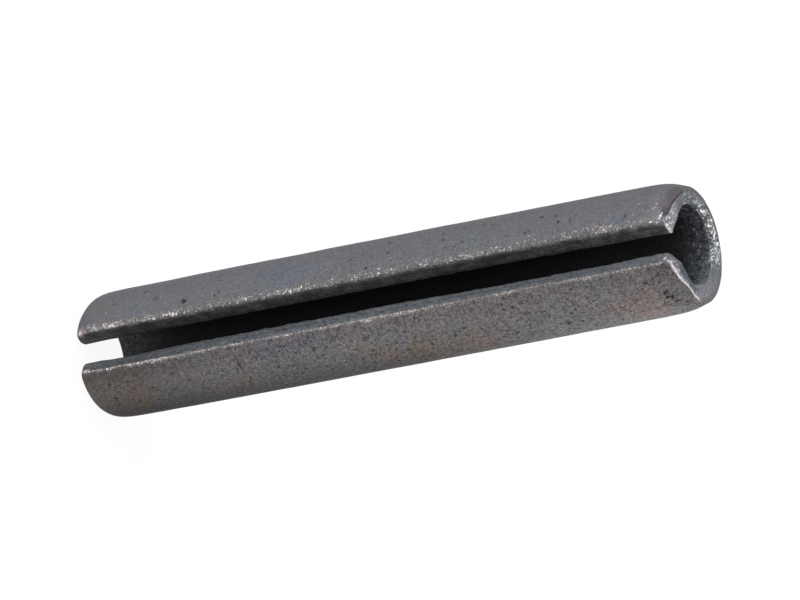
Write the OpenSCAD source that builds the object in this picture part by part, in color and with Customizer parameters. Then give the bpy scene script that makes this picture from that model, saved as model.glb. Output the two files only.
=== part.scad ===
// Slotted spring pin, heavy pattern, standing on one end.
// One strip of spring steel rolled to a C section, with both ends swaged in.
// The axis of the pin is Z, the lower end face lies at z = 0, and the slot
// opens towards -Y.

/* [Pin] */
// Overall length, end face to end face
pin_len = 65; // [40:1:100]
// Outer diameter before it is driven in
pin_d = 12.65; // [11.6:0.05:13.6]
// Thickness of the rolled strip
wall = 2.5; // [2:0.05:3]

/* [Slot] */
// Half of the slot's angle at the outer surface
slot_half_out = 17; // [12:0.5:22]
// Half of the slot's angle at the bore
slot_half_in = 15; // [10:0.5:20]
// Radius worn on the slot's outer edges
edge_r_out = 0.4; // [0.2:0.05:0.6]
// Radius on the slot's inner edges
edge_r_in = 0.25; // [0.15:0.05:0.4]
// How far each lip closes in at the pin's ends
pinch = 0.15; // [0.05:0.05:0.3]
// How far up from an end the closing in starts
pinch_len = 2.8; // [2:0.1:4]

/* [Swaged ends] */
// How far up the lower end's rounding runs
swage_low = 2.4; // [1.5:0.1:3]
// Radius of the lower end's rounding, seen from the side
swage_low_r = 3.8; // [3.2:0.1:5]
// How far down the upper end's rounding runs
swage_top = 2.85; // [1.5:0.05:3.5]
// Radius of the upper end's rounding, seen from the side
swage_top_r = 6.6; // [5:0.1:9]
// Break on the bore's two rims
rim_break = 0.18; // [0.1:0.02:0.3]

/* [Hidden] */
$fn = 96;
r_out = pin_d / 2;
r_in = r_out - wall;
bulge = 0.02;      // the roundings cross the shank at a slight angle
over = 1;          // how far cutters run past what they cut

// --- side profile of the wall -------------------------------------------

// What the swaging takes off one end: all outside a circle that meets the
// shank at height run. The end face is at y = 0 and the metal is above it.
module swage_cut(run, r) {
    cx = r_out + bulge - r;
    difference() {
        translate([cx, -over]) square([r_out + 2 - cx, run + over]);
        translate([cx, run]) circle(r = r, $fn = 180);
    }
}

// The small break where the end face meets the bore
module rim_cut() {
    polygon([
        [r_in - over, -over],
        [r_in + rim_break + over, -over],
        [r_in - over, rim_break + over]
    ]);
}

module wall_profile() {
    difference() {
        translate([r_in, 0]) square([wall, pin_len]);
        swage_cut(swage_low, swage_low_r);
        translate([0, pin_len]) mirror([0, 1]) swage_cut(swage_top, swage_top_r);
        rim_cut();
        translate([0, pin_len]) mirror([0, 1]) rim_cut();
    }
}

// --- the slot, seen along the axis, opening towards -Y -------------------

// Points where one side face of the slot meets the bore and the outside
side_in = [r_in * sin(slot_half_in), -r_in * cos(slot_half_in)];
side_out = [r_out * sin(slot_half_out), -r_out * cos(slot_half_out)];
side_len = norm(side_out - side_in);
side_dir = (side_out - side_in) / side_len;    // outwards along the face
side_nrm = [-side_dir[1], side_dir[0]];        // from the slot into the metal

// Centre of a rounding of radius e that touches the side face and stays
// inside a circle of radius r_out
function edge_centre_out(e) =
    let (c0 = side_in + side_nrm * e,
         b = c0 * side_dir,
         c = c0 * c0 - (r_out - e) * (r_out - e))
    c0 + side_dir * (-b + sqrt(b * b - c));

// The same for the bore: the rounding stays outside a circle of radius r_in
function edge_centre_in(e) =
    let (c0 = side_out + side_nrm * e,
         b = c0 * side_dir,
         c = c0 * c0 - (r_in + e) * (r_in + e))
    c0 + side_dir * (-b + sqrt(b * b - c));

// Takes off the corner outside a rounding at centre c. The corner lies
// along way, on the slot side of the metal.
module edge_cut(c, e, way, toward) {
    difference() {
        polygon([c, c - side_nrm * (e + 0.01) , c - side_nrm * (e + 0.01) + way * e * 2.2,
                 c + toward * e * 2.2]);
        circle_at(c, e * 1.015);
    }
}

module circle_at(c, r) {
    translate(c) circle(r = r, $fn = 60);
}

module slot_side(inner) {
    far = side_in + side_dir * (side_len + 3);
    near = side_in - side_dir * 2.4;
    polygon([[-inner, near[1]], near, far, [-inner, far[1]]]);
    c_out = edge_centre_out(edge_r_out);
    c_in = edge_centre_in(edge_r_in);
    edge_cut(c_out, edge_r_out, side_dir, c_out / norm(c_out));
    edge_cut(c_in, edge_r_in, -side_dir, -c_in / norm(c_in));
}

// The same side leaning in towards the lower end
module leaning_side() {
    lean = atan(pinch / pinch_len);
    translate([0, 0, pinch_len]) rotate([0, lean, 0])
        translate([0, 0, -pinch_len - 2 * over])
            linear_extrude(pin_len + 4 * over) slot_side(12);
}

// Half of the slot: straight between the ends, closing in at both
module slot_half() {
    intersection() {
        translate([0, 0, -over]) linear_extrude(pin_len + 2 * over) slot_side(0.5);
        leaning_side();
        translate([0, 0, pin_len]) mirror([0, 0, 1]) leaning_side();
    }
}

// --- the part ------------------------------------------------------------

module spring_pin() {
    color([0.42, 0.41, 0.41])
    difference() {
        rotate_extrude($fn = 180) wall_profile();
        slot_half();
        mirror([1, 0, 0]) slot_half();
    }
}

spring_pin();
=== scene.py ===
import math

import bpy
import numpy as np
from mathutils import Matrix, Vector


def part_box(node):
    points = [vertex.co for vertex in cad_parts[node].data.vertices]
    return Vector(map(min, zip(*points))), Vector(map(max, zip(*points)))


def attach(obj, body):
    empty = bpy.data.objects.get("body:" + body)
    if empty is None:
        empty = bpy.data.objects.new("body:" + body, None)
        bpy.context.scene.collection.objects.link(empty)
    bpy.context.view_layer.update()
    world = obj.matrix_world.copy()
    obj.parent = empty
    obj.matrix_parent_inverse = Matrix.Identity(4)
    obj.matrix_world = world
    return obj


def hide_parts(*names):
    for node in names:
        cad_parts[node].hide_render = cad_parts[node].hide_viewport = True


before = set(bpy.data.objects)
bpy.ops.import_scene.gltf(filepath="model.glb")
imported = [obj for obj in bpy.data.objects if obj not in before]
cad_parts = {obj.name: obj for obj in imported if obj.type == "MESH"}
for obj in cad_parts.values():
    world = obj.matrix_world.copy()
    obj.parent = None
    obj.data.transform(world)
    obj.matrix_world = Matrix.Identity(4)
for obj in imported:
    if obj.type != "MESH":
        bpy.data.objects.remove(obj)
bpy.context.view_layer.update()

# --------------------------------------------------------------------------
# Sizes, in millimetres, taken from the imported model
# --------------------------------------------------------------------------
MM = 0.001
lo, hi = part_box("spring_pin")
R = (hi.x - lo.x) / 2 / MM          # outer radius
L = (hi.z - lo.z) / MM              # length
WALL = 2.5
RI = R - WALL                       # bore radius
D2R = math.pi / 180


# --------------------------------------------------------------------------
# Seeded noise, the same on every run
# --------------------------------------------------------------------------
class Noise:
    """Smooth value noise on a repeating lattice, about -1 to 1."""

    def __init__(self, seed):
        self.t = np.random.RandomState(seed).uniform(-1, 1, (32, 32, 32))

    def __call__(self, p, size):
        q = np.asarray(p) / size + 11.37
        i = np.floor(q).astype(int)
        f = q - i
        f = f * f * f * (f * (f * 6 - 15) + 10)
        out = 0.0
        for dx in (0, 1):
            for dy in (0, 1):
                for dz in (0, 1):
                    w = (
                        (f[..., 0] if dx else 1 - f[..., 0])
                        * (f[..., 1] if dy else 1 - f[..., 1])
                        * (f[..., 2] if dz else 1 - f[..., 2])
                    )
                    out = out + w * self.t[
                        (i[..., 0] + dx) % 32, (i[..., 1] + dy) % 32, (i[..., 2] + dz) % 32
                    ]
        return out


def smooth(x, a, b):
    t = np.clip((np.asarray(x, float) - a) / (b - a), 0, 1)
    return t * t * (3 - 2 * t)


def bump_at(x, centre, width):
    return np.exp(-(((x - centre) / width) ** 2))


# --------------------------------------------------------------------------
# The true section of the pin
# --------------------------------------------------------------------------
# Across the surface, x runs from the lip at +X (a) round the back to the lip
# at -X (b). Angles are measured from -Y, the middle of the slot.
A_OUT, A_IN = 16.6, 9.2             # half angle of the slot at lip a, outside and in the bore
B_OUT, B_IN = 17.3, 16.3            # the same at lip b
LIP_O = (0.26, 0.42)                # rounding of the slot's outer edges, lips a and b
LIP_I = (0.16, 0.22)                # and of its inner edges
END_O = 0.16                        # rim breaks at the ends, outside
END_I_LOW = 0.20                    # and in the bore
# corners of the lips seen square on, (along the arc, along the pin): a low, b low, a top, b top
RC_OUT = ((1.20, 0.66), (1.10, 0.54), (0.16, 0.16), (0.16, 0.16))
RC_IN = ((0.18, 0.16), (0.54, 0.47), (1.20, 1.10), (0.28, 0.28))
RC_FULL = ((0.46, 0.00), (0.38, 0.31), (0.00, 0.00), (0.00, 0.00))   # less of it halfway through the wall
RC_POWER = (2.0, 2.0, 1.12, 1.6)    # 2 is a round corner, 1 a straight one


def section(frac, rho, z, depth_o=0.0, depth_i=0.0):
    """Point of the surface. frac 0..1 goes from lip a to lip b, rho 0..1 from the bore to the outside."""
    # the lips close in or spread a little at the ends, in millimetres
    low = np.clip(1 - z / 3.4, 0, 1) ** 1.3
    top = np.clip(1 - (L - z) / 3.0, 0, 1) ** 1.5
    close_a = (0.04 * rho - 0.06) * low - 0.12 * top - 0.13 * (1 - rho) * smooth(z, 1.5, 3.5) * (1 - smooth(z, 5.0, 10.0))
    close_a = close_a - (1 - rho) * 0.15 * smooth(z, 33, 47) * (1 - 0.55 * smooth(z, 56, 62))
    inner_b = (1 - rho) * (0.07 * smooth(z, 44, 54) + 0.10 * smooth(z, 54, 60))
    close_b = (0.05 - 0.116 * rho) * low + (0.24 - 0.18 * rho) * top + inner_b * (1 - top)
    r_mid = RI + WALL * rho
    ta = A_IN + (A_OUT - A_IN) * rho - close_a / r_mid / D2R
    tb = 360 - (B_IN + (B_OUT - B_IN) * rho - close_b / r_mid / D2R)
    deg = ta + (tb - ta) * frac
    th = deg * D2R
    # the foot is swaged hardest, and closed a touch more on the -X side
    lean = 0.127 * np.sin(th) + 0.097 * np.clip(np.sin(th), 0, 1)
    zl = z + lean * (1 - smooth(z, 0, 6))
    d0 = np.clip(zl, 0, None) / R
    d1 = np.clip(L - z, 0, None) / R
    low = 0.145 * np.exp(-((d0 / 0.125) ** 1.15)) + 0.017 * np.exp(-d0 / 1.0)
    back = np.cos(th - math.pi)                       # 1 at the back, -1 at the slot
    bevel = 0.089 - 0.030 * smooth(back, 0.0, 0.8)
    bevel = bevel + 0.115 * bump_at(deg, 60, 18) + 0.050 * bump_at(deg, 298, 20)
    top = bevel * np.exp(-((d1 / 0.19) ** 1.35)) + 0.008 * np.exp(-d1 / 2.0)
    ro = R * (1 - low - top)
    ri = RI + (0.30 * bump_at(deg, 70, 14) + 0.10 * bump_at(deg, 290, 12)) * np.exp(-((d1 / 0.09) ** 1.4))
    r = ri + (ro - ri) * rho
    r = np.where(depth_o > 0, ro - depth_o, r)
    r = np.where(depth_i > 0, ri + depth_i, r)
    # the lips' ends stand a little below the rest of the open end, most on the outside
    from_a, from_b = frac * r_mid * (tb - ta) * D2R, (1 - frac) * r_mid * (tb - ta) * D2R
    drop = (0.05 + 0.36 * rho) * np.exp(-((from_a / 1.6) ** 2)) + (0.38 - 0.12 * rho) * np.exp(-((from_b / 1.0) ** 2))
    z = z - drop * smooth(z, L - 4.0, L)
    return np.stack([r * np.sin(th), -r * np.cos(th), z], -1)


def knots(total, h0, h1, run):
    """0..1 positions, close together at both ends."""
    x, xs = 0.0, [0.0]
    while x < total / 2:
        x += h0 + (h1 - h0) * float(smooth(x, 0, run))
        xs.append(x)
    xs = np.array(xs) * (total / 2 / xs[-1])
    return np.concatenate([xs, total - xs[-2::-1]]) / total


def corner(x, z, w, ela, elb, e0, e1, rc):
    """Rounds the four corners of the unrolled wall; ela..e1 are the insets from its four sides."""
    x, z = x.copy(), z.copy()
    e0, e1 = e0 + 0 * x, e1 + 0 * x
    for k, (ra, rz_) in enumerate(rc):
        el = ela if k in (0, 2) else elb
        ee = e0 if k in (0, 1) else e1
        dx = (x if k in (0, 2) else w - x) - el
        dz = (z if k in (0, 1) else L - z) - ee
        rx, rz = max(ra - el, 0.02), np.maximum(rz_ - ee, 0.02)
        p, q = 1 - dx / rx, 1 - dz / rz
        m = (p > 0) & (q > 0)
        pm, qm = p[m], q[m]
        n = RC_POWER[k]
        k_in = np.maximum(pm, qm) / (pm ** n + qm ** n) ** (1 / n)
        nx = el + rx * (1 - pm * k_in)
        nz = ee[m] + rz[m] * (1 - qm * k_in)
        x[m] = nx if k in (0, 2) else w - nx
        z[m] = nz if k in (0, 1) else L - nz
    return x, z


def build():
    w_out = (360 - A_OUT - B_OUT) * D2R * R
    w_in = (360 - A_IN - B_IN) * D2R * RI
    xi = knots(w_out, 0.115, 0.285, 2.6)
    ze = knots(L, 0.085, 0.265, 4.2)
    nx, nz = len(xi) - 1, len(ze) - 1

    def end_i_top(u):
        # the bore's rim at the open end is rounded most at the back
        return 0.08 + 0.27 * smooth(np.cos((u - 0.5) * 2 * math.pi), -0.3, 0.7)

    def end_o_top(u):
        # and the outer rim is crisp near the lips
        return 0.06 + 0.12 * smooth(np.cos((u - 0.5) * 2 * math.pi), -0.6, 0.4)

    pos, lipd, dep, cap, side, bore = [], [], [], [], [], []

    def spread(u, v, w, k_lip, k_end, lips, e0, e1):
        """mm places of the grid's points, before the corners: k_lip and k_end scale the insets."""
        ela, elb = lips[0] * k_lip, lips[1] * k_lip
        b0, b1 = e0 * k_end, e1 * k_end
        return ela + u * (w - ela - elb), b0 + v * (L - b0 - b1), ela, elb, b0, b1

    def sheet(inner):
        w = w_in if inner else w_out
        u, v = np.meshgrid(xi, ze, indexing="ij")
        e1 = end_i_top(u) if inner else end_o_top(u)
        e0 = (END_I_LOW if inner else END_O) + 0 * u
        x, z, ela, elb, b0, b1 = spread(u, v, w, 1, 1, LIP_I if inner else LIP_O, e0, e1)
        x, z = corner(x, z, w, ela, elb, b0, b1, RC_IN if inner else RC_OUT)
        pos.append(section(x / w, np.full_like(x, 0.0 if inner else 1.0), z).reshape(-1, 3))
        near = np.minimum(x, w - x) * (R / RI if inner else 1.0)
        n = x.size
        lipd.append((near - WALL if inner else near).ravel())
        dep.append(np.full(n, WALL if inner else 0.0))
        cap.append(np.zeros(n))
        side.append(np.zeros(n))
        bore.append(np.full(n, 1.0 if inner else 0.0))

    sheet(False)
    sheet(True)

    # the loop round the sheet's border
    loop = (
        [(i, 0) for i in range(nx + 1)]
        + [(nx, j) for j in range(1, nz + 1)]
        + [(i, nz) for i in range(nx - 1, -1, -1)]
        + [(0, j) for j in range(nz - 1, 0, -1)]
    )
    li = np.array([p[0] for p in loop])
    lj = np.array([p[1] for p in loop])
    u, v = xi[li], ze[lj]
    on_a, low_half = u < 0.5, v < 0.5
    on_end = (lj == 0) | (lj == nz)
    lo_, li_ = np.where(on_a, *LIP_O), np.where(on_a, *LIP_I)
    eo_ = np.where(low_half, END_O, end_o_top(u))
    ei_ = np.where(low_half, END_I_LOW, end_i_top(u))

    # rows across the wall, from the outside to the bore
    m, flat, mi = 5, 6, 4
    rows = [("o", k / m * math.pi / 2) for k in range(1, m + 1)]
    rows += [("f", k / flat) for k in range(1, flat)]
    rows += [("i", (mi - k) / mi * math.pi / 2) for k in range(mi)]

    first_row = 2 * (nx + 1) * (nz + 1)
    for kind, t in rows:
        if kind == "o":
            k, kd, turn = 1 - math.sin(t), 1 - math.cos(t), t / (math.pi / 2)
            lips, e0, e1, rho = LIP_O, END_O, end_o_top(u), 1 - 0.3 * kd / WALL
        elif kind == "i":
            k, kd, turn = 1 - math.sin(t), 1 - math.cos(t), t / (math.pi / 2)
            lips, e0, e1, rho = LIP_I, END_I_LOW, end_i_top(u), 0.2 * kd / WALL
        else:
            k, kd, turn = 0.0, 1.0, 1.0
            lips, e0, e1 = LIP_O, END_O, END_O
            rho = (1 - 0.3 / WALL) + (0.2 / WALL - (1 - 0.3 / WALL)) * t
        w = w_in + (w_out - w_in) * rho
        x, z, ela, elb, b0, b1 = spread(u, v, w, k, k, lips, e0, e1)
        rc = tuple(
            tuple(max(c + (d - c) * rho - e * 4 * rho * (1 - rho), 0.03) for c, d, e in zip(a, b, g))
            for a, b, g in zip(RC_IN, RC_OUT, RC_FULL)
        )
        # how far this point of the loop belongs to the end face (1) or to the lip's face (0)
        r_here = np.where(low_half, np.where(on_a, rc[0][0], rc[1][0]), np.where(on_a, rc[2][1], rc[3][1]))
        gx, gz = np.minimum(x, w - x), np.minimum(z, L - z)
        wt = np.where(on_end, 0.5 + 0.5 * smooth(gx / r_here, 0, 1), 0.5 - 0.5 * smooth(gz / r_here, 0, 1))
        # the cut corner of lip a at the open end belongs to the end face
        cut = on_a & ~low_half
        wt = np.where(cut, np.where(on_end, 1.0, smooth(1 - gz / r_here, 0.0, 0.22)), wt)
        x, z = corner(x, z, w, ela, elb, b0, b1, rc)
        full = np.full_like(x, rho)
        do = lo_ * (1 - wt) + eo_ * wt
        di = li_ * (1 - wt) + ei_ * wt
        if kind == "o":
            d = do * kd
            p, dd = section(x / w, full, z, depth_o=d), d
        elif kind == "i":
            d = di * kd
            p, dd = section(x / w, full, z, depth_i=np.maximum(d, 1e-6)), WALL - d
        else:
            a = section(x / w, full, z, depth_o=do)
            b = section(x / w, full, z, depth_i=di)
            p, dd = a + (b - a) * t, do + (WALL - di - do) * t
        pos.append(p)
        near = np.minimum(x, w - x)
        lipd.append(near - dd * (1 - wt))
        dep.append(dd)
        cap.append(wt * (turn if kind != "i" else 1.0))
        side.append((1 - wt) * turn)
        bore.append((1 - wt) * (1 - turn) if kind == "i" else np.zeros(len(x)))

    v_all = np.concatenate(pos)
    masks = {k: np.concatenate(a) for k, a in
             (("lip_mm", lipd), ("depth_mm", dep), ("m_cap", cap), ("m_side", side), ("m_bore", bore))}

    def gi(i, j, off):
        return off + i * (nz + 1) + j

    i, j = np.meshgrid(np.arange(nx), np.arange(nz), indexing="ij")
    i, j = i.ravel(), j.ravel()
    q_out = np.stack([gi(i, j, 0), gi(i + 1, j, 0), gi(i + 1, j + 1, 0), gi(i, j + 1, 0)], 1)
    off = (nx + 1) * (nz + 1)
    q_in = np.stack([gi(i, j, off), gi(i, j + 1, off), gi(i + 1, j + 1, off), gi(i + 1, j, off)], 1)
    ring = [gi(li, lj, 0)] + [first_row + k * len(li) + np.arange(len(li)) for k in range(len(rows))]
    ring.append(gi(li, lj, off))
    bands = []
    for a, b in zip(ring[:-1], ring[1:]):
        an, bn = np.roll(a, -1), np.roll(b, -1)
        bands.append(np.stack([a, b, bn, an], 1))
    return v_all, np.concatenate([q_out, q_in] + bands), masks


def normals(v, f):
    a, b, c, d = (v[f[:, k]] for k in range(4))
    n = np.cross(c - a, d - b)
    out = np.zeros_like(v)
    for k in range(4):
        np.add.at(out, f[:, k], n)
    return out / np.maximum(np.linalg.norm(out, axis=1, keepdims=True), 1e-12)


verts, faces, masks = build()
a, b, c, d = (verts[faces[:, k]] for k in range(4))
volume = (np.einsum("ij,ij->i", a, np.cross(b, c)) + np.einsum("ij,ij->i", a, np.cross(c, d))).sum() / 6
if volume < 0:
    faces = faces[:, ::-1].copy()

nrm = normals(verts, faces)
n1, n2, n3 = Noise(3), Noise(17), Noise(29)
lipm, dep = masks["lip_mm"], masks["depth_mm"]
zz = verts[:, 2]
at_edge = bump_at(lipm, 0.0, 0.35)
push = 0.018 * n1(verts, 5.0) + 0.010 * n2(verts, 1.6)
push += at_edge * (0.045 * n2(verts, 0.85) + 0.03 * n3(verts, 0.42))
inner_edge = bump_at(lipm, -WALL, 0.35)
jag = smooth(zz, 6.0, 15.0)
push += inner_edge * ((0.008 + 0.022 * jag) * n1(verts, 0.9) + (0.016 + 0.036 * jag * (verts[:, 0] > 0)) * n3(verts, 0.50))
push += masks["m_bore"] * 0.03 * n3(verts, 0.8)
top_ring = masks["m_cap"] * (zz > L / 2)
push += top_ring * (0.03 * n2(verts, 0.5) + 0.02 * n1(verts, 0.9))
push *= 0.35 + 0.65 * smooth(zz, 0.3, 1.2)          # the foot stays flat
push -= 0.03
verts = verts + nrm * push[:, None]
verts[:, 2] -= verts[:, 2].min()                     # and on the floor
verts[:, 2] = np.clip(verts[:, 2], 0.0, L)

mesh = bpy.data.meshes.new("spring_pin_visual")
mesh.from_pydata((verts * MM).tolist(), [], faces.tolist())
mesh.update()
for name, arr in masks.items():
    at = mesh.attributes.new(name, "FLOAT", "POINT")
    at.data.foreach_set("value", arr.astype(np.float32))
mesh.polygons.foreach_set("use_smooth", np.ones(len(mesh.polygons), bool))
pin = bpy.data.objects.new("spring_pin_visual", mesh)
bpy.context.scene.collection.objects.link(pin)
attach(pin, "root")
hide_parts("spring_pin")


# --------------------------------------------------------------------------
# Materials
# --------------------------------------------------------------------------
class Tree:
    def __init__(self, mat):
        mat.use_nodes = True
        self.nt = mat.node_tree
        self.nt.nodes.clear()
        self.n = 0

    def new(self, kind, ins=None, **props):
        node = self.nt.nodes.new(kind)
        node.location = (self.n % 20 * 180, -(self.n // 20) * 220)
        self.n += 1
        for k, val in props.items():
            setattr(node, k, val)
        for k, val in (ins or {}).items():
            s = node.inputs[k]
            if isinstance(val, bpy.types.NodeSocket):
                self.nt.links.new(val, s)
            else:
                s.default_value = val
        return node

    def m(self, op, a, b=0.0, c=0.0, clamp=False):
        return self.new("ShaderNodeMath", {0: a, 1: b, 2: c}, operation=op, use_clamp=clamp).outputs[0]

    def attr(self, name):
        return self.new("ShaderNodeAttribute", attribute_name=name, attribute_type="GEOMETRY").outputs["Fac"]

    def noise(self, vec, scale, detail=2.0, rough=0.5, distort=0.0):
        return self.new(
            "ShaderNodeTexNoise",
            {"Vector": vec, "Scale": scale, "Detail": detail, "Roughness": rough, "Distortion": distort},
            noise_dimensions="3D",
        ).outputs["Fac"]

    def remap(self, val, a, b, lo=0.0, hi=1.0, soft=True):
        return self.new(
            "ShaderNodeMapRange",
            {"Value": val, "From Min": a, "From Max": b, "To Min": lo, "To Max": hi},
            interpolation_type="SMOOTHSTEP" if soft else "LINEAR",
            clamp=True,
        ).outputs["Result"]

    def mix(self, fac, a, b, blend="MIX"):
        node = self.new("ShaderNodeMix", data_type="RGBA", blend_type=blend)
        for s, val in ((node.inputs[0], fac), (node.inputs[6], a), (node.inputs[7], b)):
            if isinstance(val, bpy.types.NodeSocket):
                self.nt.links.new(val, s)
            else:
                s.default_value = val
        return node.outputs[2]

    def shift(self, vec, offset):
        return self.new("ShaderNodeVectorMath", {0: vec, 1: offset}, operation="ADD").outputs[0]

    def spot(self, vec, centre, radius, soft):
        d = self.new("ShaderNodeVectorMath", {0: vec, 1: centre}, operation="DISTANCE").outputs["Value"]
        return self.remap(d, radius + soft, max(radius - soft, 0.0))


def rgb(r, g, b):
    return (r, g, b, 1.0)


# Painted highlights on the rounded corners and at the open end, and one dark mauve tint: place (mm), squeeze along
# each axis, reach, colour
HIGHLIGHTS_AND_TINT = (
    ((-1.70, -5.10, 0.45), (1, 1, 1), 0.85, rgb(0.088, 0.068, 0.074)),
    ((-2.12, -5.46, 0.80), (1, 1, 0.85), 0.66, rgb(0.34, 0.28, 0.28)),
    ((-2.10, -5.42, 0.74), (1, 1, 0.9), 0.33, rgb(0.80, 0.70, 0.70)),
    ((1.66, -5.64, 0.95), (1.1, 1.1, 0.8), 0.52, rgb(0.36, 0.31, 0.31)),
    ((1.64, -5.60, 0.86), (1.4, 1.4, 0.9), 0.30, rgb(0.76, 0.67, 0.67)),
    ((-2.40, -5.36, 64.18), (1, 1, 1.4), 0.15, rgb(0.66, 0.57, 0.57)),
    ((-2.62, -5.24, 64.28), (1, 1, 1.4), 0.17, rgb(0.90, 0.80, 0.79)),
    ((-2.84, -5.09, 64.38), (1, 1, 1.4), 0.14, rgb(0.66, 0.58, 0.58)),
    ((1.40, -4.98, 63.95), (0.6, 0.6, 1.3), 0.34, rgb(0.42, 0.31, 0.34)),
    ((1.38, -4.98, 64.0), (0.7, 0.7, 1.4), 0.24, rgb(1.00, 0.86, 0.90)),
)


def on_skin(deg, z):
    """Place on the outside of the pin, in mm; deg is measured from -Y towards +X."""
    frac = (deg % 360 - A_OUT) / (360 - A_OUT - B_OUT)
    return tuple(float(c) for c in section(np.array(frac), np.array(1.0), np.array(float(z))))


# Tints, multiplied into the steel's grey
BLUE, LAVENDER, TEAL = rgb(0.92, 0.98, 1.09), rgb(1.00, 0.965, 1.045), rgb(0.95, 1.01, 1.02)
PEACH, RUST, BROWN, OLIVE = rgb(1.09, 1.01, 0.96), rgb(1.15, 1.00, 0.86), rgb(1.05, 0.98, 0.91), rgb(0.98, 1.01, 0.95)
PINK, PALE, BLOT, MAUVE = rgb(1.07, 0.98, 0.99), rgb(1.10, 1.08, 1.06), rgb(0.66, 0.56, 0.54), rgb(0.66, 0.60, 0.68)

# Heat and oil tints: angle, height, half width round the pin, half height (mm), tint, amount
PATCHES = (
    (-42, 24.0, 1.5, 3.8, BLUE, 0.7),
    (-30, 24.5, 1.0, 1.6, BLUE, 0.6),
    (-28, 7.5, 0.8, 3.0, BLUE, 0.6),
    (-40, 44.0, 0.9, 1.2, BLUE, 0.5),
    (-27, 60.0, 0.8, 1.5, BLUE, 0.7),
    (-62, 52.0, 1.4, 6.0, LAVENDER, 0.8),
    (-60, 12.0, 1.5, 9.0, LAVENDER, 0.8),
    (-74, 34.0, 1.6, 2.5, BROWN, 0.8),
    (-72, 44.0, 1.6, 1.6, BROWN, 0.7),
    (-64, 61.0, 1.2, 1.2, PINK, 0.8),
    (-43, 57.8, 0.55, 0.5, RUST, 0.9),
    (-50, 57.0, 0.6, 0.5, RUST, 0.5),
    (-39, 3.0, 0.8, 1.0, BROWN, 0.6),
    (45, 3.0, 3.6, 4.6, BROWN, 1.0),
    (37, 2.3, 0.34, 0.30, BLOT, 0.9),
    (44.7, 5.1, 0.36, 0.30, BLOT, 0.9),
    (40, 4.2, 0.25, 0.30, BLOT, 0.7),
    (28, 1.9, 0.22, 0.25, BLOT, 0.7),
    (41, 5.4, 0.9, 0.9, PINK, 1.0),
    (63, 5.6, 1.0, 1.1, RUST, 0.7),
    (42, 11.8, 0.9, 2.8, PEACH, 0.9),
    (42, 13.2, 0.6, 1.0, PINK, 0.7),
    (66, 17.4, 0.9, 1.6, RUST, 0.7),
    (52, 9.0, 1.4, 1.6, OLIVE, 0.8),
    (75, 13.0, 2.0, 4.0, LAVENDER, 0.8),
    (30, 22.0, 0.9, 2.2, BLUE, 0.9),
    (24, 27.0, 0.9, 8.0, LAVENDER, 0.9),
    (52, 24.0, 2.0, 5.0, TEAL, 0.9),
    (66, 30.0, 1.2, 1.4, TEAL, 1.0),
    (41, 30.8, 0.6, 0.9, RUST, 0.6),
    (53, 32.6, 1.1, 1.7, RUST, 1.0),
    (55, 36.5, 1.0, 2.4, RUST, 0.9),
    (66, 38.0, 1.9, 6.0, BROWN, 1.0),
    (64, 42.8, 1.2, 1.0, RUST, 0.6),
    (24, 42.0, 0.9, 9.0, PINK, 0.6),
    (57, 47.5, 1.7, 2.6, TEAL, 1.0),
    (57, 49.3, 0.9, 1.0, BLUE, 0.6),
    (35, 48.5, 0.8, 1.5, PINK, 0.7),
    (24, 56.0, 0.8, 6.0, LAVENDER, 0.8),
    (48, 53.5, 1.4, 2.0, OLIVE, 0.9),
    (66, 51.0, 1.2, 1.2, PALE, 0.9),
    (60, 60.0, 2.2, 3.4, PEACH, 1.0),
    (66, 60.6, 1.2, 1.2, PINK, 0.8),
    (24, 63.8, 0.9, 1.2, RUST, 0.3),
    (21.5, 63.5, 0.75, 1.0, MAUVE, 1.0),
    (27, 62.9, 0.50, 0.6, BLOT, 0.5),
    (118, 14.0, 2.2, 4.0, BROWN, 1.0),
    (150, 26.0, 2.6, 5.0, BLUE, 0.8),
    (128, 44.0, 2.0, 4.5, OLIVE, 0.9),
    (168, 52.0, 2.6, 3.5, PEACH, 0.9),
    (176, 9.0, 2.4, 3.0, LAVENDER, 1.0),
    (205, 36.0, 2.6, 6.0, BROWN, 0.9),
    (236, 18.0, 2.2, 5.0, BLUE, 0.9),
    (228, 55.0, 1.8, 3.0, PINK, 0.8),
    (188, 24.0, 0.8, 1.4, RUST, 0.8),
    (146, 36.5, 0.7, 1.1, RUST, 0.7),
    (252, 41.0, 0.7, 1.3, RUST, 0.6),
)

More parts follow.
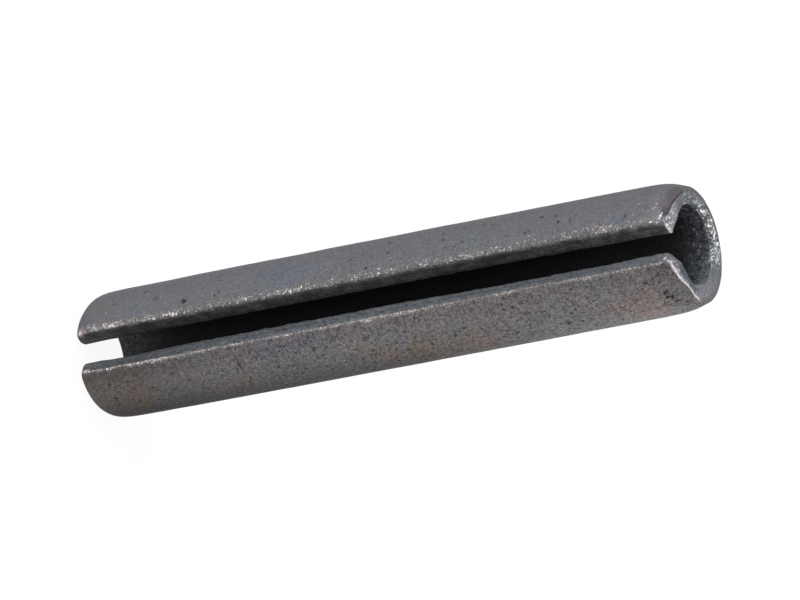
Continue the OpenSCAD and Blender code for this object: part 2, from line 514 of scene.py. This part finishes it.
# Single dark pits: angle, height, radius
DOTS = (
    (-31.5, 12.6, 0.23), (-54.8, 7.6, 0.12), (-44.7, 4.4, 0.08), (-42.0, 9.2, 0.08), (-30.6, 16.0, 0.11),
    (-58.2, 16.0, 0.09), (-42.0, 30.8, 0.11), (-28.8, 32.8, 0.09), (-57.1, 34.6, 0.10), (-41.4, 35.0, 0.07),
    (-53.9, 40.6, 0.08), (-44.5, 40.9, 0.07), (-34.0, 41.4, 0.08), (-37.2, 43.1, 0.08), (-57.7, 42.7, 0.07),
    (-57.6, 45.0, 0.10), (-53.3, 46.0, 0.07), (-47.6, 46.4, 0.07), (-33.4, 50.0, 0.08), (-35.4, 50.4, 0.07),
    (-50.3, 51.4, 0.12), (-47.6, 53.0, 0.11), (-39.0, 53.4, 0.12), (-38.6, 54.7, 0.10), (-31.1, 60.6, 0.09),
    (48.2, 3.1, 0.15), (44.0, 11.7, 0.09), (37.4, 17.5, 0.08),
    (49.2, 40.7, 0.09), (43.2, 41.9, 0.10), (61.4, 52.2, 0.15), (49.0, 53.1, 0.11), (62.3, 53.7, 0.12),
    (61.6, 54.6, 0.12), (48.3, 60.1, 0.09), (30.7, 62.6, 0.10), (48.0, 63.1, 0.15), (47.4, 63.4, 0.10),
    (53.6, 63.1, 0.19), (55.4, 63.5, 0.20), (58.5, 63.5, 0.12), (63.2, 63.6, 0.17), (65.5, 63.9, 0.10),
    (71.7, 64.2, 0.13), (112.0, 30.2, 0.13), (131.0, 8.4, 0.15), (139.0, 52.6, 0.11), (157.0, 18.1, 0.12),
    (171.0, 40.3, 0.17), (173.5, 40.9, 0.11), (194.0, 13.2, 0.12), (208.0, 57.4, 0.13), (219.0, 29.0, 0.15),
    (243.0, 48.8, 0.12), (262.0, 22.4, 0.13),
)

# Single grains painted bright as glints: angle, height, radius
SPARKS = (
    (-35.6, 3.7, 0.11), (-43.5, 9.7, 0.10), (-41.5, 10.3, 0.08), (-31.1, 15.8, 0.08), (-34.7, 35.4, 0.07),
    (-28.1, 37.8, 0.09), (-30.7, 42.5, 0.08), (-29.3, 50.5, 0.09), (-31.9, 55.8, 0.09), (-28.7, 57.4, 0.09),
    (-29.4, 58.7, 0.08), (-30.4, 61.5, 0.10), (-41.9, 62.0, 0.09), (-40.4, 63.8, 0.10), (-36.3, 63.7, 0.10),
    (-34.6, 63.5, 0.09),
)


def steel():
    mat = bpy.data.materials.new("dark_scale_steel")
    t = Tree(mat)
    add, sub, mul = (lambda a, b: t.m("ADD", a, b)), (lambda a, b: t.m("SUBTRACT", a, b)), (lambda a, b: t.m("MULTIPLY", a, b))
    obj = t.new("ShaderNodeTexCoord").outputs["Object"]
    p = t.new("ShaderNodeVectorMath", {0: obj, "Scale": 1000.0}, operation="SCALE").outputs[0]   # mm
    xyz = t.new("ShaderNodeSeparateXYZ", {0: p})
    px, py, pz = xyz.outputs["X"], xyz.outputs["Y"], xyz.outputs["Z"]
    lip, deep = t.attr("lip_mm"), t.attr("depth_mm")
    cap, side, bore = t.attr("m_cap"), t.attr("m_side"), t.attr("m_bore")
    low_side = t.remap(px, -0.4, 0.4)                     # 1 on lip a's half
    from_top = sub(L, pz)
    open_end = t.remap(from_top, 4.0, 1.0)

    # noises, from broad patches to single grains
    big = t.noise(t.shift(p, (7, 3, 1)), 0.16, 3.0, 0.55)
    big2 = t.noise(t.shift(p, (2, 5, 5)), 0.24, 3.0, 0.6)
    big3 = t.noise(t.shift(p, (9, 1, 5)), 0.30, 3.0, 0.6)
    mid = t.noise(t.shift(p, (1, 9, 4)), 0.8, 3.0, 0.6)
    fine = t.noise(p, 3.2, 2.0, 0.7)
    fine2 = t.noise(t.shift(p, (0.08, 0.0, -0.12)), 3.2, 2.0, 0.7)
    grain = t.noise(t.shift(p, (4, 4, 9)), 7.0, 1.0, 0.6)
    warp = t.new(
        "ShaderNodeTexNoise", {"Vector": t.shift(p, (8, 8, 3)), "Scale": 0.7, "Detail": 3.0, "Roughness": 0.7}
    ).outputs["Color"]
    warp = t.new("ShaderNodeVectorMath", {0: warp, 1: (0.5, 0.5, 0.5)}, operation="SUBTRACT").outputs[0]
    warp = t.new("ShaderNodeVectorMath", {0: warp, "Scale": 5.0}, operation="SCALE").outputs[0]
    pw = t.new("ShaderNodeVectorMath", {0: p, 1: warp}, operation="ADD").outputs[0]

    # cool smooth half (-X) and warm mottled half (+X)
    warm = t.remap(add(px, mul(sub(big, 0.5), 5.0)), -1.0, 1.6)

    cool = t.mix(t.remap(big2, 0.40, 0.62), rgb(0.126, 0.130, 0.142), rgb(0.134, 0.131, 0.139))
    cool = t.mix(mul(t.remap(mid, 0.42, 0.62), 0.6), cool, rgb(0.140, 0.142, 0.155))
    hot = t.mix(t.remap(big2, 0.42, 0.60), rgb(0.130, 0.126, 0.131), rgb(0.133, 0.121, 0.124))
    hot = t.mix(mul(t.remap(big3, 0.52, 0.66), 0.5), hot, rgb(0.140, 0.124, 0.114))
    hot = t.mix(mul(t.remap(t.noise(t.shift(p, (5, 2, 8)), 0.35, 3.0, 0.6), 0.52, 0.68), 0.5), hot, rgb(0.120, 0.125, 0.119))
    base = t.mix(warm, cool, hot)

    for deg, z, wide, tall, tint, amount in PATCHES:
        x, y, _ = on_skin(deg, z)
        q = t.shift(pw, (-x, -y, -z))
        q = t.new("ShaderNodeVectorMath", {0: q, 1: (1 / wide, 1 / wide, 1 / tall)}, operation="MULTIPLY").outputs[0]
        q = t.new("ShaderNodeVectorMath", {0: q}, operation="LENGTH").outputs["Value"]
        base = t.mix(t.remap(q, 1.55, 0.25, 0.0, amount), base, tint, "MULTIPLY")

    # the back has broader light and dark cloud
    cloud = mul(t.remap(add(mul(big3, 0.6), mul(mid, 0.4)), 0.38, 0.62, -0.16, 0.14), t.remap(py, -0.6, 2.0))
    cloud = add(1.0, cloud)
    base = t.mix(1.0, base, t.new("ShaderNodeCombineColor", {0: cloud, 1: cloud, 2: cloud}).outputs[0], "MULTIPLY")

    # painted shade and light: the mottled half is darker towards the foot, most along its outer edge, and paler
    # towards the open end
    out_l = t.m("POWER", t.remap(px, 2.6, 6.4, soft=False), 3.5)
    lum_in = mul(add(t.remap(pz, 5.0, 18.0, 0.76, 1.08), t.remap(pz, 22.0, 32.0, 0.0, 0.09)), add(1.0, mul(t.remap(px, 2.4, 4.0), t.remap(pz, 16.0, 7.0, 0.17, 0.29))))
    lum_out = add(t.remap(pz, 4.0, 35.0, 0.24, 0.74, soft=False), t.remap(pz, 35.0, 60.0, 0.0, 1.56, soft=False))
    away = add(py, mul(sub(big3, 0.5), 2.4))
    lum_out = add(lum_out, mul(sub(0.95, lum_out), t.remap(away, -0.1, 2.1, 0.0, 0.96)))
    lum = add(mul(lum_in, sub(1.0, out_l)), mul(lum_out, out_l))
    lum = add(mul(lum, low_side), mul(sub(1.0, low_side), 1.06))

    # faces of the slot: the lower one smooth and bluish, painted brighter as if lit, with painted shading of a ridge
    # and a dark crease line along it; the upper one dull and darker inwards
    crease_shade = t.m("ABSOLUTE", sub(add(deep, mul(sub(mid, 0.5), 0.7)), 1.05))
    crease_shade = mul(t.remap(crease_shade, 0.26, 0.04), mul(t.remap(pz, 10.0, 20.0), t.remap(pz, 62.0, 54.0)))
    ridge_shading = mul(sub(1.0, mul(crease_shade, 0.42)), add(t.remap(deep, 1.0, 1.9, 0.99, 1.12), mul(sub(fine, 0.5), 1.1)))
    ridge_shading = mul(mul(ridge_shading, t.remap(pz, 0.3, 3.5, 0.74, 1.05)), t.remap(add(deep, mul(sub(mid, 0.5), 0.5)), 0.45, 1.15, 0.70, 1.0))
    side_up_lit = t.mix(t.remap(mid, 0.40, 0.60), rgb(0.207, 0.228, 0.254), rgb(0.238, 0.253, 0.276))
    side_dn = t.mix(t.remap(mid, 0.40, 0.60), rgb(0.088, 0.087, 0.089), rgb(0.158, 0.156, 0.160))
    side_dn = t.mix(mul(t.remap(deep, 1.3, 2.4), 0.55), side_dn, rgb(0.084, 0.083, 0.084))
    dim = mul(t.remap(pz, 3.0, 17.0, 0.70, 0.97), mul(t.remap(pz, 52.0, 62.0, 1.0, 1.30), add(1.0, mul(sub(fine2, 0.5), 1.4))))
    dim = mul(dim, t.remap(deep, 0.5, 1.9, 0.80, 1.03))
    side_dn = t.mix(1.0, side_dn, t.new("ShaderNodeCombineColor", {0: dim, 1: dim, 2: dim}).outputs[0], "MULTIPLY")
    side_col = t.mix(low_side, side_dn, t.mix(1.0, side_up_lit, t.new("ShaderNodeCombineColor", {0: ridge_shading, 1: ridge_shading, 2: ridge_shading}).outputs[0], "MULTIPLY"))
    face = t.mix(low_side, t.new("ShaderNodeCombineColor", {0: t.remap(side, 0.24, 0.62)}).outputs[0],
                 t.new("ShaderNodeCombineColor", {0: t.remap(side, 0.62, 0.95)}).outputs[0])
    face = t.new("ShaderNodeSeparateColor", {0: face}).outputs[0]
    base = t.mix(face, base, side_col)
    # bore: black inside as painted shade, dull grey towards the open end and a little towards the foot as painted
    # light, with a few bright and dark grains
    bore_lit_ends = t.m("MAXIMUM", t.m("POWER", t.remap(from_top, 5.0, 0.2), 1.6), mul(t.remap(pz, 8.0, 0.5), 0.26))
    soft = t.remap(add(t.noise(t.shift(p, (2, 2, 2)), 2.0, 3.0, 0.7), mul(sub(grain, 0.5), 0.45)), 0.36, 0.66)
    bore_lo = t.mix(t.remap(px, -1.2, 2.8), rgb(0.050, 0.054, 0.060), rgb(0.108, 0.121, 0.133))
    bore_hi = t.mix(t.remap(px, -3.2, -0.6), rgb(0.220, 0.234, 0.248), t.mix(t.remap(px, -0.6, 2.8), rgb(0.150, 0.162, 0.174), rgb(0.208, 0.228, 0.246)))
    bore_grey = t.mix(soft, bore_lo, bore_hi)
    speck_n = t.noise(t.shift(p, (5, 1, 1)), 3.6, 1.5, 0.6)
    bore_grey = t.mix(mul(t.remap(speck_n, 0.64, 0.70), open_end), bore_grey, rgb(0.62, 0.66, 0.69))
    bore_grey = t.mix(mul(t.remap(speck_n, 0.38, 0.32), 0.8), bore_grey, rgb(0.012, 0.012, 0.013))
    base = t.mix(bore, base, t.mix(bore_lit_ends, t.mix(t.remap(from_top, 24.0, 4.0), rgb(0.020, 0.020, 0.021), rgb(0.033, 0.032, 0.033)), bore_grey))
    # end rings
    cap_col = t.mix(t.remap(mid, 0.38, 0.62), rgb(0.126, 0.131, 0.144), rgb(0.146, 0.150, 0.162))
    base = t.mix(cap, base, cap_col)

    # grain, strongest on the mottled half; fine2 is fine moved a little, so their difference paints emboss shading on
    # the grains, and lum brings in the painted shade and light
    g_amp = mul(add(0.98, mul(mul(warm, sub(1.0, cap)), 0.58)), t.remap(pz, 5.0, 20.0, 0.72, 1.0))
    cells = t.new(
        "ShaderNodeTexVoronoi",
        {"Vector": t.new("ShaderNodeVectorMath", {0: p, 1: t.new("ShaderNodeVectorMath", {0: warp, "Scale": 0.16}, operation="SCALE").outputs[0]}, operation="ADD").outputs[0],
         "Scale": 2.7, "Randomness": 1.0}, feature="F1",
    ).outputs["Distance"]
    # painted emboss shading from the two offset noises
    g = add(mul(sub(fine2, fine), 0.7), add(mul(sub(fine, 0.5), 1.0), mul(sub(grain, 0.5), 1.1)))
    g = add(g, mul(sub(0.42, cells), mul(warm, 0.42)))
    grain_and_light_gain = mul(add(1.0, mul(g, g_amp)), lum)
    base = t.mix(1.0, base, t.new("ShaderNodeCombineColor", {0: grain_and_light_gain, 1: grain_and_light_gain, 2: grain_and_light_gain}).outputs[0], "MULTIPLY")

    # small dark pits, in swarms
    def pits(scale, reach, keep, offset):
        v = t.new("ShaderNodeTexVoronoi", {"Vector": t.shift(p, offset), "Scale": scale, "Randomness": 1.0}, feature="F1")
        d = add(v.outputs["Distance"], mul(sub(grain, 0.5), 0.35))
        k = t.new("ShaderNodeSeparateColor", {0: v.outputs["Color"]}).outputs[0]
        return mul(t.remap(d, reach, reach * 0.4), t.remap(k, keep, keep - 0.1))

    skin = mul(sub(1.0, bore), sub(1.0, cap))
    swarm = mul(t.remap(t.noise(t.shift(p, (6, 6, 1)), 0.45, 2.0, 0.6), 0.40, 0.58, 0.22, 1.0), t.remap(pz, 6.0, 20.0, 0.5, 1.0))
    rough_side = t.m("MAXIMUM", warm, mul(t.remap(py, 0.0, 2.5), t.remap(big3, 0.44, 0.58, 0.10, 0.75)))
    pit = mul(pits(2.2, 0.34, 0.62, (0, 0, 0)), mul(mul(add(0.10, mul(rough_side, 0.75)), swarm), skin))
    pit = t.m("MAXIMUM", pit, mul(pits(1.1, 0.20, 0.40, (3, 1, 2)), mul(add(0.35, mul(warm, 0.5)), skin)))
    run = mul(mul(t.remap(pz, 24.0, 30.0), t.remap(pz, 58.0, 52.0)), mul(sub(1.0, warm), skin))
    pit = t.m("MAXIMUM", pit, mul(pits(1.5, 0.17, 0.45, (7, 2, 6)), mul(run, 0.62)))
    near = None
    for deg, z, r in DOTS:
        d = t.new("ShaderNodeVectorMath", {0: p, 1: on_skin(deg, z)}, operation="DISTANCE").outputs["Value"]
        d = sub(d, r)
        near = d if near is None else t.m("MINIMUM", near, d)
    dot = t.remap(add(near, mul(sub(fine, 0.5), 0.35)), 0.07, -0.05)
    halo = t.remap(add(near, mul(sub(fine, 0.5), 0.6)), 0.42, 0.02)
    base = t.mix(mul(halo, 0.22), base, rgb(0.075, 0.058, 0.046))
    pit = t.m("MAXIMUM", pit, mul(dot, 0.92))
    scratch = mul(t.remap(t.m("ABSOLUTE", sub(add(pz, mul(sub(mid, 0.5), 1.6)), 17.5)), 0.13, 0.05), mul(t.remap(px, 2.7, 3.0), t.remap(px, 4.9, 4.5)))
    pit = t.m("MAXIMUM", pit, mul(scratch, 0.7))
    base = t.mix(pit, base, rgb(0.028, 0.024, 0.021))
    # painted glints on single grains
    lit = None
    for deg, z, r in SPARKS:
        d = sub(t.new("ShaderNodeVectorMath", {0: p, 1: on_skin(deg, z)}, operation="DISTANCE").outputs["Value"], r)
        lit = d if lit is None else t.m("MINIMUM", lit, d)
    base = t.mix(mul(t.remap(add(lit, mul(sub(fine, 0.5), 0.3)), 0.03, -0.06), 0.70), base, rgb(0.40, 0.39, 0.39))

    # worn grains along the slot's outer edges, with painted glints and sheen on them: a ragged band
    # on the cool lip, a thin line on the other
    stretch = mul(t.remap(pz, 26.0, 30.0), t.remap(pz, 43.5, 40.0))
    reach = add(0.90, mul(low_side, add(-0.58, mul(stretch, 0.04))))
    ragged = t.noise(t.shift(p, (3, 8, 2)), 1.1, 3.0, 0.7)
    clump = t.noise(t.shift(p, (9, 9, 2)), 0.55, 2.0, 0.6)
    d_edge = t.m("DIVIDE", add(lip, mul(sub(ragged, 0.5), 1.1)), reach)
    band = mul(t.remap(d_edge, 1.3, 0.2), t.remap(add(lip, mul(low_side, 0.10)), -0.07, 0.12))
    band = mul(mul(band, sub(1.0, cap)), t.remap(pz, 63.9, 62.7, 0.35, 1.0))
    vigour = add(mul(t.remap(pz, 31.0, 25.0), 0.26), add(mul(t.remap(pz, 17.0, 9.0), 0.30), mul(t.remap(pz, 48.0, 53.0), 0.04)))
    vigour = add(vigour, mul(low_side, add(mul(stretch, 0.50), t.remap(pz, 20.0, 8.0, 0.0, 0.34))))
    vigour = add(vigour, mul(low_side, t.remap(pz, 42.0, 50.0, 0.10, 0.26)))
    vigour = add(add(0.42, vigour), mul(sub(clump, 0.5), 2.6))
    s = add(mul(t.noise(t.shift(p, (6, 2, 7)), 6.6, 1.5, 0.6), 0.62), mul(t.noise(t.shift(p, (6, 2, 4)), 3.3, 2.0, 0.6), 0.38))
    s = add(0.5, mul(sub(s, 0.5), 1.40))
    s = add(s, mul(mul(band, vigour), 0.12))
    worn = t.mix(t.remap(clump, 0.40, 0.60), rgb(0.165, 0.157, 0.157), rgb(0.180, 0.157, 0.150))
    worn = t.mix(mul(mul(low_side, stretch), 0.7), worn, rgb(0.215, 0.174, 0.167))
    base = t.mix(mul(band, add(0.60, mul(low_side, 0.16))), base, t.mix(low_side, worn, t.mix(0.5, worn, rgb(0.235, 0.215, 0.212))))
    base = t.mix(mul(mul(band, 0.55), t.remap(s, 0.52, 0.42)), base, rgb(0.060, 0.055, 0.054))
    painted_sheen = mul(t.remap(s, 0.58, 0.68), t.remap(band, 0.0, 0.3))
    base = t.mix(mul(painted_sheen, 0.7), base, rgb(0.34, 0.315, 0.315))
    # painted glints: near-white specks on the worn band
    glint = mul(mul(t.remap(s, 0.66, 0.80), t.remap(band, 0.0, 0.3)), t.remap(mid, 0.38, 0.60, 0.35, 1.0))
    base = t.mix(glint, base, rgb(0.85, 0.81, 0.80))

    # open end: grey rim, and painted glints on the far side's inner half
    p_r = t.new("ShaderNodeVectorMath", {0: t.shift(p, (1, 6, 3)), 1: (1.0, 0.55, 1.0)}, operation="MULTIPLY").outputs[0]
    g2 = add(mul(t.noise(p_r, 5.2, 2.0, 0.7), 0.65), mul(t.noise(t.shift(p_r, (3, 3, 3)), 2.3, 1.0, 0.6), 0.35))
    g2 = add(0.5, mul(sub(g2, 0.5), 1.35))
    rim_tint = mul(cap, mul(t.remap(deep, 1.0, 0.5), open_end))
    base = t.mix(mul(rim_tint, 0.7), base, rgb(0.135, 0.130, 0.132))
    shade = mul(mul(cap, open_end), mul(mul(t.remap(py, -2.6, -1.2), t.remap(py, 2.6, 0.6)), t.remap(px, -2.4, -3.4)))
    shade = mul(shade, t.remap(add(deep, mul(sub(mid, 0.5), 1.0)), 0.7, 1.3))
    far = mul(mul(cap, open_end), mul(t.remap(py, -1.9, -0.7), t.remap(add(px, mul(sub(mid, 0.5), 2.4)), 2.3, 0.5)))
    vivid = t.remap(px, -4.7, -2.9, 0.38, 1.0)
    far = mul(far, t.remap(add(add(deep, mul(sub(mid, 0.5), 1.3)), t.remap(px, -3.6, -1.6, 0.0, 0.42)), 0.60, 1.05))
    base = t.mix(mul(mul(far, 0.6), vivid), base, rgb(0.185, 0.192, 0.200))
    base = t.mix(mul(mul(far, mul(vivid, 0.80)), t.remap(g2, 0.49, 0.39)), base, rgb(0.036, 0.038, 0.041))
    base = t.mix(mul(mul(far, vivid), t.remap(g2, 0.515, 0.625)), base, rgb(0.70, 0.72, 0.73))
    flecks = mul(mul(cap, open_end), mul(t.remap(t.m("ABSOLUTE", sub(deep, 0.55)), 0.40, 0.15), mul(t.remap(py, -1.5, 0.5), t.remap(px, 1.5, -0.5))))
    base = t.mix(mul(mul(flecks, 0.75), t.remap(add(fine2, mul(sub(mid, 0.5), 0.3)), 0.42, 0.36)), base, rgb(0.040, 0.038, 0.040))
    base = t.mix(mul(mul(far, vivid), t.remap(g2, 0.62, 0.70)), base, rgb(0.95, 0.95, 0.93))
    base = t.mix(mul(shade, t.remap(g2, 0.62, 0.54, 0.10, 0.52)), base, t.mix(t.remap(fine2, 0.42, 0.60), rgb(0.066, 0.072, 0.080), rgb(0.112, 0.122, 0.130)))

    # painted highlights: a bright facet on lip b's end, and bright edge lines along both lips' ends
    lit_facet = mul(mul(cap, open_end), mul(t.remap(py, -2.2, -5.0), t.remap(px, 0.5, -0.5)))
    base = t.mix(mul(lit_facet, 0.80), base, rgb(0.36, 0.375, 0.405))
    lower = t.remap(py, -3.7, -4.5)
    base = t.mix(mul(mul(lit_facet, lower), t.remap(fine, 0.47, 0.38)), base, rgb(0.13, 0.14, 0.165))
    base = t.mix(mul(lit_facet, t.remap(add(fine, mul(lower, 0.03)), 0.55, 0.64)), base, rgb(0.90, 0.91, 0.94))
    # a dark brownish line of painted shade along the chamfer's edge beside the facet, crossing onto the rim as it
    # climbs
    edge_d = t.remap(px, -2.6, -4.8, 0.03, 0.52, soft=False)
    by_rim = mul(mul(t.remap(from_top, 0.85, 0.50), t.remap(px, -2.35, -2.75)), t.remap(py, -0.6, -1.6))
    outer = mul(by_rim, t.remap(sub(deep, edge_d), 0.06, -0.06))
    base = t.mix(mul(outer, 0.70), base, rgb(0.122, 0.110, 0.113))
    chamfer_shade = t.remap(add(t.m("ABSOLUTE", sub(deep, edge_d)), mul(sub(mid, 0.5), 0.35)), 0.32, 0.10)
    base = t.mix(mul(mul(chamfer_shade, by_rim), 0.90), base, rgb(0.042, 0.033, 0.036))
    tint = mul(mul(t.remap(add(from_top, mul(sub(fine, 0.5), 2.4)), 1.3, 0.35), t.remap(px, -2.5, -3.0)), mul(t.remap(py, -0.5, -2.0), sub(1.0, cap)))
    base = t.mix(mul(tint, 0.42), base, rgb(0.078, 0.066, 0.072))
    # painted highlight along both lips' end edges
    edge_highlight = mul(mul(mul(cap, side), 4.0), open_end)
    base = t.mix(t.m("MINIMUM", edge_highlight, 1.0), base, t.mix(low_side, rgb(0.90, 0.84, 0.84), rgb(0.34, 0.33, 0.34)))
    # lip a's end: dark flecks, painted glints, and a painted highlight line along the bore's rim
    lip_a = mul(mul(cap, open_end), mul(t.remap(px, 0.3, 1.2), t.remap(py, 0.2, -1.6)))
    base = t.mix(mul(mul(lip_a, 0.65), t.remap(py, -2.4, -3.8)), base, rgb(0.205, 0.210, 0.225))
    base = t.mix(mul(lip_a, mul(mul(t.remap(deep, 1.0, 1.4), t.remap(deep, 2.4, 2.1)), t.remap(py, -4.4, -3.4))), base, rgb(0.085, 0.093, 0.110))
    base = t.mix(mul(lip_a, mul(t.remap(py, -1.6, -3.0), t.remap(fine, 0.46, 0.38))), base, rgb(0.075, 0.078, 0.088))
    base = t.mix(mul(mul(lip_a, 0.7), mul(t.remap(deep, 1.8, 0.6), t.remap(fine, 0.53, 0.61))), base, rgb(0.62, 0.62, 0.65))
    rim_highlight = mul(lip_a, t.remap(add(deep, mul(sub(fine2, 0.5), 0.6)), 0.70, 0.40))
    base = t.mix(mul(rim_highlight, t.remap(fine, 0.38, 0.54, 0.50, 1.0)), base, rgb(0.72, 0.67, 0.70))

    # painted highlights on the rounded corners and at the open end, and a dark mauve tint
    for place, squeeze, rad, col in HIGHLIGHTS_AND_TINT:
        q = t.new("ShaderNodeVectorMath", {0: t.shift(p, tuple(-c for c in place)), 1: squeeze}, operation="MULTIPLY").outputs[0]
        d = t.new("ShaderNodeVectorMath", {0: q}, operation="LENGTH").outputs["Value"]
        base = t.mix(t.remap(add(d, mul(sub(fine, 0.5), rad * 0.8)), rad, rad * 0.25), base, col)

    rough = add(0.50, mul(fine, 0.16))
    rough = sub(rough, mul(glint, 0.15))

    # relief
    h = mul(fine, add(0.012, mul(warm, 0.020)))
    h = add(h, mul(grain, add(0.004, mul(warm, 0.006))))
    h = add(h, mul(s, mul(add(band, cap), 0.05)))
    h = sub(h, mul(pit, 0.035))
    bump = t.new("ShaderNodeBump", {"Strength": 1.0, "Distance": 0.001, "Height": h}).outputs[0]

    out = t.new(
        "ShaderNodeBsdfPrincipled",
        {"Base Color": base, "Roughness": rough, "Normal": bump, "Metallic": 0.8, "Specular Tint": rgb(0.45, 0.45, 0.45)},
    )
    t.new("ShaderNodeOutputMaterial", {"Surface": out.outputs[0]})
    return mat


mesh.materials.append(steel())

# --------------------------------------------------------------------------
# Floor, light, camera
# --------------------------------------------------------------------------
fm = bpy.data.meshes.new("floor")
n = 96
ring = [(3.0 * math.cos(2 * math.pi * k / n), 3.0 * math.sin(2 * math.pi * k / n), 0.0) for k in range(n)]
fm.from_pydata(ring, [], [list(range(n))])
floor = bpy.data.objects.new("floor", fm)
bpy.context.scene.collection.objects.link(floor)
fmat = bpy.data.materials.new("pale_floor")
ft = Tree(fmat)
fb = ft.new(
    "ShaderNodeBsdfPrincipled",
    {"Base Color": rgb(0.08, 0.08, 0.08), "Roughness": 1.0, "Specular IOR Level": 0.0,
     "Emission Color": rgb(1, 1, 1), "Emission Strength": 0.93},
)
ft.new("ShaderNodeOutputMaterial", {"Surface": fb.outputs[0]})
fm.materials.append(fmat)

# a white tent: bright round the horizon, softer overhead
world = bpy.data.worlds.new("studio")
bpy.context.scene.world = world
wt = Tree(world)
wdir = wt.new("ShaderNodeSeparateXYZ", {0: wt.new("ShaderNodeTexCoord").outputs["Generated"]}).outputs["Z"]
wlum = wt.remap(wdir, 0.10, 0.35, 1.0, 0.70)
wbg = wt.new("ShaderNodeBackground", {"Color": rgb(1, 1, 1), "Strength": wlum})
wt.new("ShaderNodeOutputWorld", {"Surface": wbg.outputs[0]})


def sun(name, direction, strength, angle, colour=(1, 1, 1)):
    data = bpy.data.lights.new(name, "SUN")
    data.energy, data.angle, data.color = strength, math.radians(angle), colour
    o = bpy.data.objects.new(name, data)
    o.rotation_euler = Vector(direction).to_track_quat("Z", "Y").to_euler()
    bpy.context.scene.collection.objects.link(o)
    return o


sun("key", (-0.755, -0.555, 0.395), 2.6, 80)
sun("rim", (-0.20, 0.85, 0.50), 0.8, 60)

# The camera stands where the photographer did: a long lens, 27 degrees above
# the level, turned on its side so that the standing pin lies across the frame.
TAU, RHO = math.radians(26.70), 0.18936
DIST = 8000.0 / 65.584 * R
a = Vector((math.cos(TAU) * math.cos(RHO), math.cos(TAU) * math.sin(RHO), math.sin(TAU)))
vv = Vector((0, 0, 1)) - a * a.z
vv.normalize()
uu = vv.cross(a)
PHI = math.radians(7.35)
ss = vv * math.cos(PHI) + uu * math.sin(PHI)
ey = -ss
ex = ey.cross(a)
to_cam = Matrix((ex, ey, a)).transposed()            # world to camera
C = Vector(((393.665 - 400) / 8000 * DIST, -(302.192 - 300) / 8000 * DIST, -DIST))
cam_rot = to_cam.transposed()
cam_pos = Vector((0, 0, L / 2)) - cam_rot @ C
cam_data = bpy.data.cameras.new("camera")
cam_data.sensor_width, cam_data.lens = 36.0, 8000.0 * 36.0 / 800.0
cam_data.clip_start, cam_data.clip_end = 0.05, 20.0
cam = bpy.data.objects.new("camera", cam_data)
cam.matrix_world = Matrix.Translation(cam_pos * MM) @ cam_rot.to_4x4()
bpy.context.scene.collection.objects.link(cam)
bpy.context.scene.camera = cam

sc = bpy.context.scene
sc.view_settings.view_transform = "Standard"
sc.view_settings.look = "None"

bpy.context.view_layer.update()
